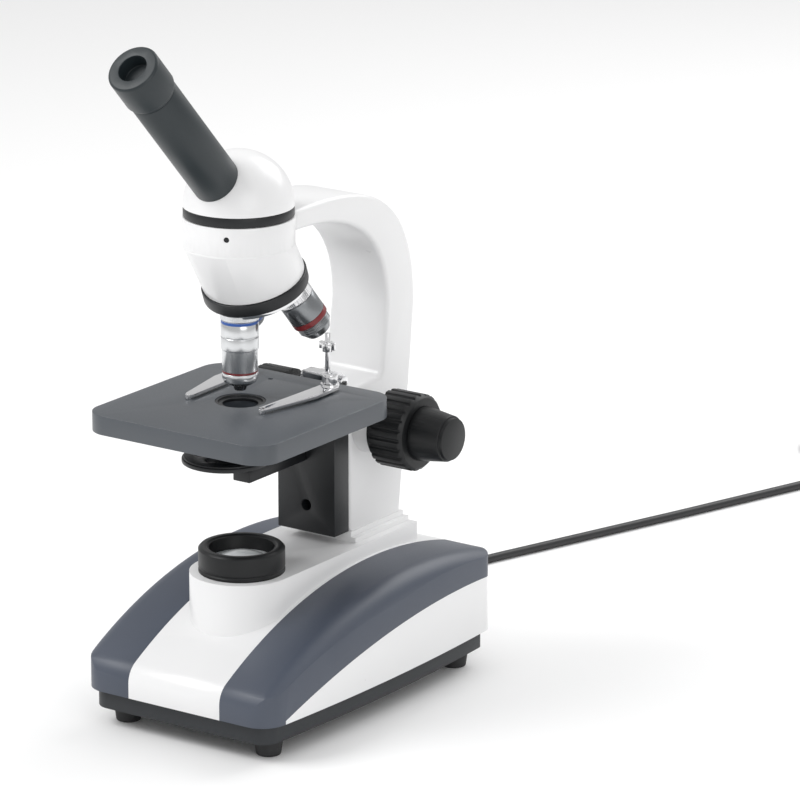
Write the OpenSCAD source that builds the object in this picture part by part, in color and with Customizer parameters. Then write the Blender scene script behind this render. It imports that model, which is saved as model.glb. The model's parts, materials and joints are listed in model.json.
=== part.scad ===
// Upright monocular microscope: arched base with a lamp, C arm, focusing stage, revolving
// turret with three objectives and an inclined head. Millimetres, +Z up, +Y to the back.
// Every module is drawn about the optical axis; place() puts it in the part's own frame.

/* [Base] */
// Greatest width of the base
base_w = 132; // [120:1:150]
// Reach of the base in front of the optical axis
base_front = 61; // [56:1:72]
// Reach of the base behind the optical axis
base_back = 147; // [140:1:172]
// Height of the top of the arch above the table
arch_top = 74.5; // [70:0.5:79]
// Radius of the arch seen from the side
arch_r = 270; // [250:5:340]
// Height of the skirt's top edge
skirt_top = 21; // [18:0.5:26]
// Height of the skirt's bottom edge, where the feet start
skirt_bottom = 10.5; // [8:0.5:12]
// Width of the white strip between the shoulder panels
strip_w = 60; // [50:1:70]
// Thickness of a shoulder panel
panel_t = 2.5; // [1.5:0.5:4]
// Wall thickness of the base shell
shell_t = 3; // [2:0.5:4]

/* [Platform and lamp] */
// Height of the platform that carries the column
platform_top = 82; // [80:1:90]
// Width of the platform, and of its round front end
platform_w = 56; // [54:1:60]
// Outer radius of the illuminator collar
collar_r = 23.2; // [20:0.2:26]
// Height of the illuminator collar above the platform
collar_h = 14; // [10:1:18]
// Radius of the collar's opening
collar_bore_r = 17.5; // [15:0.5:19]

/* [Column and arm] */
// Width of the column and of the arm
arm_w = 38; // [34:1:44]
// Height of the pedestal above the platform
pedestal_h = 5.5; // [4:0.5:8]
// Distance from the optical axis to the column's front face
column_front = 72; // [70:1:80]
// Height of the focus shafts' axis
shaft_z = 145; // [142:1:150]
// Thickness of the arm's straight top part
arm_top_t = 11; // [9:0.5:14]

/* [Focus] */
// Radius of the coarse knobs
coarse_r = 21; // [18:0.5:24]
// Radius of the fine knobs where they meet the coarse ones
fine_r = 15; // [12:0.5:17]
// Radius of the hollow coarse shaft
coarse_shaft_r = 4.5; // [4:0.1:4.8]
// Radius of the fine shaft
fine_shaft_r = 2.4; // [2:0.1:3]
// Module of the rack and pinion teeth
tooth_module = 1; // [0.9:0.05:1.1]
// Radial clearance of turning and sliding fits
fit_gap = 0.05; // [0.02:0.01:0.1]

/* [Stage] */
// Width of the stage plate
stage_w = 118; // [105:1:140]
// Reach of the stage plate to the right of the optical axis
stage_right = 62.5; // [55:0.5:66]
// Depth of the stage plate
stage_d = 120; // [114:1:123]
// Reach of the stage plate in front of the optical axis
stage_front = 65; // [60:1:68]
// Thickness of the stage plate
stage_t = 10.5; // [8:0.5:12]
// Height of the stage's top surface
stage_top = 176; // [174:0.5:177]
// Radius of the stage opening's insert ring
insert_r = 13.5; // [12:0.5:18]
// Height of the stage carrier's bottom end
carrier_bottom = 88; // [86:1:92]

/* [Optics] */
// Height where the axes of the three objectives meet
apex_z = 275; // [273:1:277]
// Angle between an objective and the turret's axis
turret_tilt = 20; // [16:1:22]
// Distance from the meeting point to the objectives' shoulders
shoulder_d = 50; // [48:0.5:53]
// Radius of the turret's revolving ring
turret_r = 28.4; // [27:0.2:30]
// Radius of the objective barrels
objective_r = 10.4; // [9:0.1:11]
// Length of the high power objective below its shoulder
high_l = 43; // [40:0.5:45]

/* [Head] */
// Radius of the head
head_r = 29.6; // [28:0.2:31]
// Angle of the eyepiece tube from the vertical
tube_tilt = 43.5; // [35:0.5:50]
// Reach of the eyecup in front of the optical axis
eyecup_reach = 98; // [95:1:115]
// Radius of the eyepiece tube
tube_r = 13; // [12.8:0.1:14]
// Radius of the eyepiece barrel
barrel_r = 11.6; // [11.6:0.05:11.65]
// Radius of the eyecup
eyecup_r = 14; // [13.6:0.2:15]

/* [Cord] */
// Diameter of the mains cord
cord_d = 5; // [4.5:0.1:6]

/* [Hidden] */
$fn = 64;
big = 400;
eps = 0.01;

// The part's origin is under the middle of the box round everything but the cord
mid_y = (base_back - eyecup_reach) / 2;

// Base outline
plate_inset = 4;
corner_front_r = 14;
corner_back_r = 9;
bow_r = 1260;
bow_y = 50;
shoulder_r = 12;
arch_y = 78;
nose_r = 12;
side_edge_r = 420;
side_edge_y = 110;
side_edge_top = 53;
cavity_t = panel_t + shell_t;

// Foot places
foot_x = base_w / 2 - 19.5;
foot_front = base_front - 21;
foot_back = base_back - 15;
foot_r = 8;
foot_tip_r = 6.6;
foot_screw_r = 2;

// Platform and column
column_back = column_front + 48;
pedestal_top = platform_top + pedestal_h;
shaft_y = column_front + 18;
pedestal_w = platform_w - 10;
platform_back = column_back + 3;

// Rack, pinion and slide
pinion_teeth = 14;
pitch_r = pinion_teeth * tooth_module / 2;
pitch_y = shaft_y - pitch_r;
tooth_h = tooth_module * 0.9;
tooth_pitch = PI * tooth_module;
block_front = column_front + 0.4;
block_back = pitch_y - tooth_h - 1;
carrier_t = 13.2;
carrier_back = column_front - 0.3;
carrier_front = carrier_back - carrier_t;
carrier_w = arm_w - 0.4;
stage_bottom = stage_top - stage_t;
groove_back = block_front + 2;
rail_back = groove_back - 0.1;
rail_w = 14;
slot_w = 6.4;
rack_w = 5.6;
rack_teeth = 3;
rack_h = (2 * rack_teeth + 1) * tooth_pitch;
block_low = shaft_z - 45;
block_high = shaft_z + 17;
block_w = 28;
fine_play = 0.7;

// Turret: objectives stand on a cone round the tilted axis
plate_low_d = shoulder_d * cos(turret_tilt);
ring_low_d = plate_low_d - (objective_r - 0.6) * sin(turret_tilt) - 0.2;
ring_high_d = ring_low_d - 7;
nose_cut_d = ring_high_d - 0.3;
optic_bore_r = 7;
pivot_r = 3;

// Head
set_screw_r = 1.5;
set_screw_turn = 24;
spigot_r = 20;
spigot_h = 4;
band_low = apex_z + 2.2;
arm_top = band_low - 0.7;
band_high = band_low + 5.4;
seam_z = band_low - 15.6;
tube_z = band_low + 1.8;
eyecup_chamfer = 1;
eyecup_l = 22;
tube_face_d = (eyecup_reach - (eyecup_r - eyecup_chamfer) * cos(tube_tilt)) / sin(tube_tilt);
tube_end_d = tube_face_d - eyecup_l;

// Places of the stage fittings
clip_x = 28;
clip_y = 42;
clip_tip = [-4, -57];
stop_x = 10;
stop_y = 65;
stop_r = 1.6;
disc_y = -13;
disc_r = 23.5;
bar_front = 7.5;
bar_w = 11;

// The cord runs from the strain relief down to the table, then back and away
cord_route = [
    [-30, 147.5, 36], [-30, 157.5, 35.5], [-30, 168.5, 32.5], [-31, 179.5, 26.5], [-32, 190.5, 18.5],
    [-34, 202.5, 11], [-37, 214.5, 5.5], [-40, 226.5, 3], [-42, 240.5, 2.6], [-41, 256.5, 2.6],
    [-37, 271.5, 2.6], [-32, 286.5, 2.6], [-25, 307.5, 2.6], [-17, 331.5, 2.6], [-9, 355.5, 2.6],
    [-1, 379.5, 2.6], [7, 403.5, 2.6], [14, 425.5, 2.6], [21, 447.5, 2.6], [28, 469.5, 2.6],
    [35, 491.5, 2.6], [41, 511.5, 2.6], [47, 529.5, 2.6], [52.5, 547.5, 2.6], [57, 565.5, 2.6],
    [59.3, 577.5, 2.6]
];
tail_route = [
    [60, 589.5, 7.6], [60, 597.5, 7.5], [60, 605.5, 6.4], [60, 615.5, 4.2], [60, 627.5, 2.8],
    [60.4, 639.5, 2.8], [61.3, 651.5, 4.2], [62.5, 663.5, 7], [63.6, 675.5, 9.6], [64.5, 687.5, 10.5]
];
coil_centre = [25, 585.5];
coil_r = 27.5;
coil_half_w = 10;
coil_half_h = 5.1;
plug_at = [64.5, 685.5, 10.5];
plug_turn = 87;

function arc(cx, cy, r, from, to, n) =
    [for (i = [0:n]) let (a = from + (to - from) * i / n) [cx + r * cos(a), cy + r * sin(a)]];
function bezier(p, n) =
    [for (i = [0:n]) let (t = i / n, u = 1 - t)
        u * u * u * p[0] + 3 * u * u * t * p[1] + 3 * u * t * t * p[2] + t * t * t * p[3]];

// Half width of the base at a distance y, following the bowed side, less an inset t
function side_x(y, t) = base_w / 2 - bow_r + sqrt(pow(bow_r - t, 2) - pow(y - bow_y, 2));
function corner_x(y, r) = base_w / 2 - bow_r + sqrt(pow(bow_r - r, 2) - pow(y - bow_y, 2));

// Outline of the base from above, inset by t
function plan_half(t) = let (
        fy = corner_front_r - base_front,
        by = base_back - corner_back_r,
        fx = corner_x(fy, corner_front_r),
        bx = corner_x(by, corner_back_r),
        fa = atan2(fy - bow_y, fx - base_w / 2 + bow_r),
        ba = atan2(by - bow_y, bx - base_w / 2 + bow_r)
    ) concat(
        arc(fx, fy, corner_front_r - t, -90, fa, 7),
        arc(base_w / 2 - bow_r, bow_y, bow_r - t, fa, ba, 12),
        arc(bx, by, corner_back_r - t, ba, 90, 6)
    );
module plan(t) {
    right = plan_half(t);
    count = len(right);
    polygon(concat(right, [for (i = [1:count]) [-right[count - i][0], right[count - i][1]]]));
}

// The arched drum whose rim gives the base its top and its rounded shoulders
module drum(t) {
    r = arch_r - t;
    half = base_w / 2 - t;
    s = shoulder_r - t;
    translate([0, arch_y, arch_top - arch_r])
        rotate([0, 90, 0])
            rotate_extrude($fn = 128) {
                translate([0, s - half])
                    square([r, 2 * (half - s)]);
                translate([0, -half])
                    square([r - s, 2 * half]);
                translate([r - s, half - s])
                    circle(s);
                translate([r - s, s - half])
                    circle(s);
            }
}

// Side view of the rounded front end, extruded across the base
module front_end(t) {
    cy = nose_r - base_front;
    cz = arch_top - arch_r + sqrt(pow(arch_r - nose_r, 2) - pow(cy - arch_y, 2));
    turn = atan2(cz - arch_top + arch_r, cy - arch_y);
    edge = arc(cy, cz, nose_r - t, 180, turn, 7);
    last = edge[7];
    lift = [last[0] + big * cos(turn - 90), last[1] + big * sin(turn - 90)];
    rotate([90, 0, 90])
        translate([0, 0, -base_w])
            linear_extrude(2 * base_w)
                polygon(concat([[t - base_front, -eps]], edge, [lift, [lift[0], -eps]]));
}

// Solid form of the base above the skirt, inset by t
module form(t) {
    intersection() {
        drum(t);
        front_end(t);
        translate([0, 0, skirt_top])
            linear_extrude(arch_top)
                plan(t);
    }
}

// Space of one shoulder panel, above the crescent shaped side and beside the strip
module panel_space(side) {
    difference() {
        translate([side > 0 ? strip_w / 2 : -base_w, -base_front - 1, skirt_top])
            cube([base_w - strip_w / 2, base_front + base_back + 2, arch_top]);
        translate([0, side_edge_y, side_edge_top - side_edge_r])
            rotate([0, 90, 0])
                cylinder(h = 3 * base_w, r = side_edge_r, center = true, $fn = 128);
    }
    intersection() {
        translate([side > 0 ? strip_w / 2 : -base_w, -base_front - 1, skirt_top])
            cube([base_w - strip_w / 2, corner_front_r + 2, arch_top]);
        translate([0, side_edge_y, side_edge_top - side_edge_r])
            rotate([0, 90, 0])
                cylinder(h = 3 * base_w, r = side_edge_r, center = true, $fn = 128);
    }
}

module place() {
    translate([0, -mid_y, 0])
        children();
}

// Puts children on the tilted turret axis: z = 0 at the meeting point, z down the axis
module on_turret() {
    translate([0, 0, apex_z])
        rotate([180 + turret_tilt, 0, 0])
            children();
}

// Puts children on an objective's axis, number 0 being the one in use
module on_objective(number) {
    on_turret()
        rotate([0, 0, number * 120])
            rotate([-turret_tilt, 0, 0])
                children();
}

// Puts children on the eyepiece tube's axis, z running outwards
module on_tube() {
    translate([0, 0, tube_z])
        rotate([tube_tilt, 0, 0])
            children();
}

module along_x() {
    rotate([0, 90, 0])
        children();
}

module ring(outer, inner, h) {
    difference() {
        cylinder(h = h, r = outer);
        translate([0, 0, -1])
            cylinder(h = h + 2, r = inner);
    }
}

module four_corners() {
    for (x = [-foot_x, foot_x])
        for (y = [-foot_front, foot_back])
            translate([x, y, 0])
                children();
}

module switch_cut() {
    translate([-base_w / 2 + 8, 92, 34])
        cube([20, 22, 15], center = true);
}

module base_shell() {
    color("whitesmoke")
        place()
            difference() {
                union() {
                    form(panel_t);
                    difference() {
                        form(0);
                        panel_space(1);
                        panel_space(-1);
                    }
                    translate([0, 0, skirt_top + 10])
                        cylinder(h = platform_top - skirt_top - 10, r = platform_w / 2);
                    translate([-platform_w / 2, 0, skirt_top + 10])
                        cube([platform_w, platform_back, platform_top - skirt_top - 10]);
                    translate([-pedestal_w / 2, column_front, platform_top - 1])
                        cube([pedestal_w, column_back - column_front + 2, 1 + pedestal_h / 2]);
                    translate([-arm_w / 2 - 1, column_front, platform_top - 1])
                        cube([arm_w + 2, column_back - column_front + 1, 1 + pedestal_h]);
                }
                difference() {
                    form(cavity_t);
                    for (x = [-1, 1])
                        translate([x * (base_w / 2 - 14), 20, 0])
                            cylinder(h = arch_top, r = 4.5);
                }
                translate([0, 0, skirt_top - 1])
                    cylinder(h = platform_top - 6 - skirt_top + 1, r = platform_w / 2 - 4);
                translate([-platform_w / 2 + 4, 0, skirt_top - 1])
                    cube([platform_w - 8, platform_back - 4, platform_top - 4 - skirt_top]);
                translate([0, 0, platform_top - 10])
                    cylinder(h = 20, r = collar_bore_r - 1.5);
                for (x = [-1, 1])
                    translate([x * (base_w / 2 - 14), 20, skirt_top - 1])
                        cylinder(h = 16, r = foot_screw_r);
                for (x = [-8, 8])
                    translate([x, column_front + 24, platform_top - 20])
                        cylinder(h = 30, r = 3);
                switch_cut();
                translate([-30, base_back - 10, 36])
                    rotate([-90, 0, 0])
                        cylinder(h = 20, r = 5);
            }
}

module shoulder_panel(side) {
    color("slategray")
        place()
            difference() {
                intersection() {
                    form(0);
                    panel_space(side);
                }
                form(panel_t);
                translate([0, 0, skirt_top])
                    cylinder(h = arch_top, r = platform_w / 2);
            }
}
module left_shoulder_panel() {
    shoulder_panel(-1);
}
module right_shoulder_panel() {
    shoulder_panel(1);
}

module base_plate() {
    color("darkslategray")
        place()
            difference() {
                translate([0, 0, skirt_bottom])
                    linear_extrude(skirt_top - skirt_bottom)
                        plan(plate_inset);
                translate([0, 0, skirt_bottom + 2.5])
                    linear_extrude(skirt_top)
                        plan(plate_inset + 3);
                four_corners()
                    cylinder(h = big, r = foot_screw_r + fit_gap);
                for (x = [-1, 1])
                    translate([x * (base_w / 2 - 14), 20, 0])
                        cylinder(h = big, r = foot_screw_r + fit_gap);
            }
}

module rubber_feet() {
    color("black")
        place()
            four_corners()
                difference() {
                    cylinder(h = skirt_bottom, r1 = foot_tip_r, r2 = foot_r);
                    translate([0, 0, -1])
                        cylinder(h = 6, r = 4.2);
                    cylinder(h = big, r = foot_screw_r + fit_gap);
                }
}

// Four screws hold the feet, two hold the plate to the shell's posts
module foot_screws() {
    color("silver")
        place() {
            four_corners() {
                translate([0, 0, 3])
                    cylinder(h = 2, r = 4);
                translate([0, 0, 4.5])
                    cylinder(h = skirt_bottom - 0.5, r = foot_screw_r);
            }
            for (x = [-1, 1])
                translate([x * (base_w / 2 - 14), 20, 0]) {
                    translate([0, 0, skirt_bottom - 2])
                        cylinder(h = 2, r = 4);
                    translate([0, 0, skirt_bottom - 1])
                        cylinder(h = skirt_top - skirt_bottom + 9, r = foot_screw_r);
                }
        }
}

module transformer() {
    color("dimgray")
        place() {
            translate([-21, 80, skirt_bottom + 2.5])
                cube([42, 36, 34]);
            translate([-14, 74, skirt_bottom + 9])
                cube([28, 48, 21]);
        }
}

module power_board() {
    color("green")
        place() {
            translate([-24, 18, skirt_bottom + 7.5])
                cube([48, 46, 1.6]);
            for (x = [-20, 20])
                for (y = [22, 60])
                    translate([x, y, skirt_bottom + 2.5])
                        cylinder(h = 5, r = 2.5);
            translate([-16, 30, skirt_bottom + 9])
                cylinder(h = 16, r = 6);
            translate([4, 28, skirt_bottom + 9])
                cube([14, 20, 12]);
        }
}

module lamp_holder() {
    color("ivory")
        place()
            translate([0, 0, skirt_bottom + 2.5]) {
                cylinder(h = 4, r = 14);
                cylinder(h = 30, r = 8);
            }
}

module lamp() {
    color("lightyellow")
        place()
            translate([0, 0, skirt_bottom + 32.5]) {
                cylinder(h = 8, r = 4);
                translate([0, 0, 12])
                    sphere(6);
            }
}

module illuminator_collar() {
    color("black")
        place()
            translate([0, 0, platform_top])
                difference() {
                    union() {
                        cylinder(h = collar_h - 1.5, r = collar_r);
                        translate([0, 0, collar_h - 1.5])
                            cylinder(h = 1.5, r1 = collar_r, r2 = collar_r - 1.5);
                    }
                    translate([0, 0, 4])
                        cylinder(h = collar_h, r = collar_bore_r);
                    translate([0, 0, -1])
                        cylinder(h = 8, r = collar_bore_r - 2.5);
                }
}

module collector_lens() {
    color("lightcyan", 0.5)
        place()
            translate([0, 0, platform_top + 4]) {
                cylinder(h = 2, r = collar_bore_r - 0.1);
                intersection() {
                    translate([0, 0, 6.5 - 26])
                        sphere(26, $fn = 96);
                    cylinder(h = 8, r = collar_bore_r - 1.5);
                }
            }
}

module switch_housing() {
    color("black")
        place()
            translate([-side_x(92, 0) - 0.8, 92, 34])
                difference() {
                    translate([8, 0, 0])
                        cube([16, 22 - 0.2, 15 - 0.2], center = true);
                    translate([2, 0, 0])
                        cube([12, 17, 10.6], center = true);
                }
}

module power_switch() {
    color("black")
        place()
            translate([-side_x(92, 0) - 0.8, 92, 34]) {
                translate([2.6, 0, 0])
                    rotate([0, 0, 7])
                        cube([4.4, 14.6, 9.8], center = true);
                translate([4.6, 0, 0])
                    cylinder(h = 9.8, r = 2, center = true);
            }
}

// Tapered strain relief in the base's back wall
module cord_gland() {
    color("black")
        place()
            translate([-30, base_back - 9.5, 36])
                rotate([-90, 0, 0]) {
                    cylinder(h = 10, r = 5);
                    translate([0, 0, 9.5])
                        cylinder(h = 2.5, r = 7);
                    translate([0, 0, 12])
                        cylinder(h = 22.5, r1 = 5.4, r2 = 3.4);
                }
}

// Tube of n sides swept along a route, square to the route at each point
function unit(v) = v / norm(v);
function heading(p, i) = unit(p[min(i + 1, len(p) - 1)] - p[max(i - 1, 0)]);
function sideways(d) = unit(cross(d, [0, 0, 1]));
function tube_points(p, r, n) =
    [for (i = [0:len(p) - 1]) let (d = heading(p, i), s = sideways(d), u = cross(s, d))
        for (k = [0:n - 1]) p[i] + r * (cos(360 * k / n) * s + sin(360 * k / n) * u)];
function tube_faces(rings, n) = concat(
    [[for (k = [0:n - 1]) k]],
    [for (i = [0:rings - 2]) for (k = [0:n - 1])
        [i * n + k, (i + 1) * n + k, (i + 1) * n + (k + 1) % n, i * n + (k + 1) % n]],
    [[for (k = [0:n - 1]) rings * n - 1 - k]]
);
module swept(route, r, n) {
    polyhedron(points = tube_points(route, r, n), faces = tube_faces(len(route), n), convexity = 8);
}

module cord() {
    color("black") {
        swept(cord_route, cord_d / 2, 8);
        swept(tail_route, cord_d / 2, 8);
    }
}

module cord_coil() {
    color("black")
        translate([coil_centre[0], coil_centre[1], coil_half_h])
            rotate_extrude()
                translate([coil_r, 0])
                    square([2 * coil_half_w, 2 * coil_half_h], center = true);
}

// Two pin plug lying on the table beside the coil
module mains_plug() {
    color("black")
        translate(plug_at)
            rotate([0, 0, plug_turn])
                rotate([0, 90, 0]) {
                    cylinder(h = 12, r1 = 3.4, r2 = 6);
                    translate([0, 0, 26])
                        cube([20, 30, 28], center = true);
                    for (y = [-6.5, 6.5])
                        translate([0, y, 39])
                            cylinder(h = 17, r = 2.4);
                }
}

// Outline of the column and the C arm seen from the side
function arm_outline() = concat(
    [[column_front, pedestal_top], [column_front, stage_bottom + 2.5]],
    [[column_front + 29, stage_bottom + 2.5], [column_front + 31, stage_bottom + 6]],
    bezier([[column_front + 36, 207], [column_front + 36, 248],
        [78, arm_top - arm_top_t + 1], [24, arm_top - arm_top_t]], 16),
    bezier([[24, arm_top], [90, arm_top + 4],
        [column_back + 14, 268], [column_back + 14, 204]], 18),
    [[column_back + 10.5, 171], [column_back, pedestal_top]]
);

module arm() {
    color("whitesmoke")
        place()
            difference() {
                rotate([90, 0, 90])
                    translate([0, 0, -arm_w / 2])
                        linear_extrude(arm_w)
                            polygon(arm_outline());
                // Channel of the fine slide block, open to the front
                translate([-block_w / 2 - fit_gap, column_front - 1, block_low - fine_play])
                    cube([block_w + 2 * fit_gap, block_back + 0.1 - column_front + 1,
                        block_high - block_low + 2 * fine_play]);
                // Room for the pinion and the rack
                translate([-12, column_front + 1, shaft_z - 20])
                    cube([24, 28, 40]);
                translate([0, shaft_y, shaft_z])
                    along_x()
                        cylinder(h = arm_w + 2, r = 7 + fit_gap, center = true);
                for (x = [-8, 8])
                    translate([x, column_front + 24, pedestal_top - 1])
                        cylinder(h = 20, r = 3);
            }
}

module arm_screws() {
    color("silver")
        place()
            for (x = [-8, 8])
                translate([x, column_front + 24, 0]) {
                    translate([0, 0, platform_top - 10])
                        cylinder(h = 5, r = 5);
                    translate([0, 0, platform_top - 5])
                        cylinder(h = pedestal_h + 20, r = 2.95);
                }
}

module focus_collars() {
    color("whitesmoke")
        place()
            for (side = [-1, 1])
                translate([0, shaft_y, shaft_z])
                    rotate([0, side * 90, 0])
                        translate([0, 0, arm_w / 2])
                            ring(16, 7 + fit_gap, 11);
}

module shaft_bushes() {
    color("goldenrod")
        place()
            for (side = [-1, 1])
                translate([0, shaft_y, shaft_z])
                    rotate([0, side * 90, 0])
                        translate([0, 0, 12.5])
                            ring(7, coarse_shaft_r + fit_gap, arm_w / 2 + 11 - 12.5);
}

knob_start = arm_w / 2 + 11.3;
coarse_l = 24;
fine_l = 20;

module coarse_shaft() {
    color("silver")
        place()
            translate([0, shaft_y, shaft_z])
                along_x()
                    translate([0, 0, -knob_start - coarse_l + 2])
                        ring(coarse_shaft_r, fine_shaft_r + fit_gap, 2 * (knob_start + coarse_l - 2));
}

// Straight sided teeth round a hub, a gap facing the rack at rest
module coarse_pinion() {
    tip = pitch_r + tooth_h;
    root = pitch_r - 1.15 * tooth_h - 0.1;
    foot = 0.65 * tooth_module;
    crest = 0.25 * tooth_module;
    color("goldenrod")
        place()
            translate([0, shaft_y, shaft_z])
                rotate([0, 90, 0])
                    translate([0, 0, -2.5]) {
                        ring(root, coarse_shaft_r, 5);
                        for (i = [0:pinion_teeth - 1])
                            rotate(270 + (i + 0.5) * 360 / pinion_teeth)
                                linear_extrude(5)
                                    polygon([[root - 0.4, foot], [tip, crest],
                                        [tip, -crest], [root - 0.4, -foot]]);
                    }
}

module knob_at(side, start) {
    place()
        translate([0, shaft_y, shaft_z])
            rotate([0, side * 90, 0])
                translate([0, 0, start])
                    children();
}

module coarse_knob(side) {
    color("#20282a")
        knob_at(side, knob_start)
            difference() {
                union() {
                    cylinder(h = 4, r = coarse_r - 3);
                    translate([0, 0, 3])
                        cylinder(h = coarse_l - 5, r = coarse_r);
                    translate([0, 0, coarse_l - 2])
                        cylinder(h = 2, r1 = coarse_r, r2 = coarse_r - 2);
                }
                translate([0, 0, -1])
                    cylinder(h = coarse_l - 1, r = coarse_shaft_r);
                cylinder(h = coarse_l + 1, r = fine_shaft_r + fit_gap);
                for (i = [0:23])
                    rotate(i * 15)
                        translate([coarse_r + 0.4, 0, 2])
                            cylinder(h = coarse_l, r = 1.3, $fn = 16);
            }
}
module coarse_knob_right() {
    coarse_knob(1);
}
module coarse_knob_left() {
    coarse_knob(-1);
}

module fine_shaft() {
    color("silver")
        knob_at(1, 0)
            cylinder(h = 2 * (knob_start + coarse_l + fine_l - 6), r = fine_shaft_r, center = true);
}

module fine_knob(side) {
    color("#20282a")
        knob_at(side, knob_start + coarse_l + 0.3)
            difference() {
                union() {
                    cylinder(h = fine_l - 2, r1 = fine_r, r2 = fine_r - 2.5);
                    translate([0, 0, fine_l - 2])
                        cylinder(h = 2, r = fine_r - 3.5);
                }
                translate([0, 0, -1])
                    cylinder(h = fine_l - 5.3, r = fine_shaft_r);
            }
}
module fine_knob_right() {
    fine_knob(1);
}
module fine_knob_left() {
    fine_knob(-1);
}

module fine_slide_block() {
    color("goldenrod")
        place()
            difference() {
                translate([-block_w / 2, block_front, block_low])
                    cube([block_w, block_back - block_front, block_high - block_low]);
                translate([-rail_w / 2 - fit_gap, block_front - 1, block_low - 1])
                    cube([rail_w + 2 * fit_gap, groove_back - block_front + 1,
                        block_high - block_low + 2]);
                translate([-slot_w / 2, block_front, shaft_z - rack_h / 2 - 7])
                    cube([slot_w, 12, rack_h + 30]);
            }
}

module stage_carrier() {
    color("#262b2e")
        place()
            difference() {
                union() {
                    translate([-carrier_w / 2, carrier_front, carrier_bottom])
                        cube([carrier_w, carrier_t, stage_bottom - carrier_bottom]);
                    translate([-carrier_w / 2, carrier_front - 24, stage_bottom - 8])
                        cube([carrier_w, 25, 8]);
                    translate([-rail_w / 2, carrier_front + 1, block_low + 6])
                        cube([rail_w, rail_back - carrier_front - 1, block_high - block_low - 12]);
                }
                translate([0, carrier_front - 1, carrier_bottom + 15])
                    rotate([-90, 0, 0])
                        cylinder(h = 9, r = 3.2);
            }
}

// Straight rack behind the carrier's rail, a tooth level with the pinion's axis
module focus_rack() {
    color("goldenrod")
        place()
            translate([-rack_w / 2, 0, 0])
                rotate([90, 0, 90])
                    linear_extrude(rack_w)
                        union() {
                            translate([rail_back, shaft_z - rack_h / 2])
                                square([pitch_y - tooth_h - 0.15 - rail_back, rack_h]);
                            for (i = [-rack_teeth:rack_teeth])
                                translate([pitch_y - tooth_h - 0.2, shaft_z + i * tooth_pitch])
                                    polygon([[0, -0.65 * tooth_module],
                                        [2 * tooth_h + 0.1, -0.25 * tooth_module],
                                        [2 * tooth_h + 0.1, 0.25 * tooth_module],
                                        [0, 0.65 * tooth_module]]);
                        }
}

module rounded_plate(w, d, r, h) {
    translate([r - w / 2, -d / 2, 0])
        cube([w - 2 * r, d, h]);
    translate([-w / 2, r - d / 2, 0])
        cube([w, d - 2 * r, h]);
    for (x = [-1, 1])
        for (y = [-1, 1])
            translate([x * (w / 2 - r), y * (d / 2 - r), 0])
                cylinder(h = h, r = r);
}

module stage_plate() {
    color("#4c535a")
        place()
            translate([0, 0, stage_bottom])
                difference() {
                    translate([stage_right - stage_w / 2, stage_d / 2 - stage_front, 0])
                        rounded_plate(stage_w, stage_d, 14, stage_t);
                    translate([0, 0, -1])
                        cylinder(h = stage_t + 2, r = insert_r - 3);
                    translate([0, 0, stage_t - 3])
                        cylinder(h = 4, r = insert_r + fit_gap);
                    translate([-11, 42, stage_t - 5])
                        cylinder(h = 6, r = 1.4);
                    for (x = [-clip_x, clip_x])
                        translate([x, clip_y, stage_t - 8])
                            cylinder(h = 9, r = 2);
                }
}

module stage_insert() {
    color("#3a4046")
        place()
            translate([0, 0, stage_top - 3])
                difference() {
                    ring(insert_r, insert_r - 4, 2.6);
                    translate([0, 0, 1.6])
                        cylinder(h = 2, r = insert_r - 1.5);
                }
}

module clip_screws() {
    color("silver")
        place()
            for (x = [-clip_x, clip_x])
                translate([x, clip_y, stage_top - 8]) {
                    cylinder(h = 13, r = 2 - fit_gap);
                    translate([0, 0, 12.4])
                        cylinder(h = 5, r = 4.2);
                }
}

// Spring leaf that presses on the slide, its eye round the screw
module clip(side) {
    color("silver")
        place()
            translate([side * clip_x, clip_y, stage_top]) {
                translate([0, 0, 1.1])
                    ring(5, 2 + fit_gap, 3);
                difference() {
                    translate([0, 0, 1.1])
                        linear_extrude(1.6)
                            polygon([[-5, 1], [5, 1], [5.5, -20], [-side * 4 + 2.6, -54],
                                [-side * 4 + 1, -57], [-side * 4 - 1, -57], [-side * 4 - 2.6, -54],
                                [-5.5, -20]]);
                    cylinder(h = 9, r = 2 + fit_gap);
                }
                translate([-side * 4, -55, 0.1])
                    cylinder(h = 2, r = 1.8);
            }
}
module right_clip() {
    clip(1);
}
module left_clip() {
    clip(-1);
}

module stop_bracket() {
    color("silver")
        place()
            translate([stop_x, stop_y, stage_bottom])
                difference() {
                    union() {
                        translate([-4, -4, 0])
                            cube([8, 8, 6]);
                        translate([-14, -4, 5])
                            cube([22, 8, 7]);
                        translate([7, 0, 8.5])
                            along_x()
                                cylinder(h = 4, r = 3.4);
                        translate([-16, 0, 8.5])
                            along_x()
                                cylinder(h = 3, r = 2.8);
                    }
                    translate([0, 0, 2])
                        cylinder(h = 12, r = stop_r);
                }
}

module stop_screw() {
    color("silver")
        place()
            translate([stop_x, stop_y, stage_bottom + 2])
                cylinder(h = 32, r = stop_r);
}

module stop_nut() {
    color("silver")
        place()
            translate([stop_x, stop_y, stage_bottom + 24])
                difference() {
                    union() {
                        cylinder(h = 5, r = 3.2);
                        translate([-5, -1, 1])
                            cube([10, 2, 4]);
                    }
                    translate([0, 0, -1])
                        cylinder(h = 9, r = stop_r + fit_gap);
                }
}

module diaphragm_mount() {
    color("#1c2022")
        place()
            translate([0, 0, stage_bottom - 16])
                difference() {
                    union() {
                        cylinder(h = 16, r = 18);
                        translate([0, disc_y, -5])
                            cylinder(h = 8, r = 1.9);
                        translate([0, disc_y, -6])
                            cylinder(h = 2.2, r = 3);
                    }
                    translate([0, 0, -1])
                        cylinder(h = 18, r = 9.5);
                }
}

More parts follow.
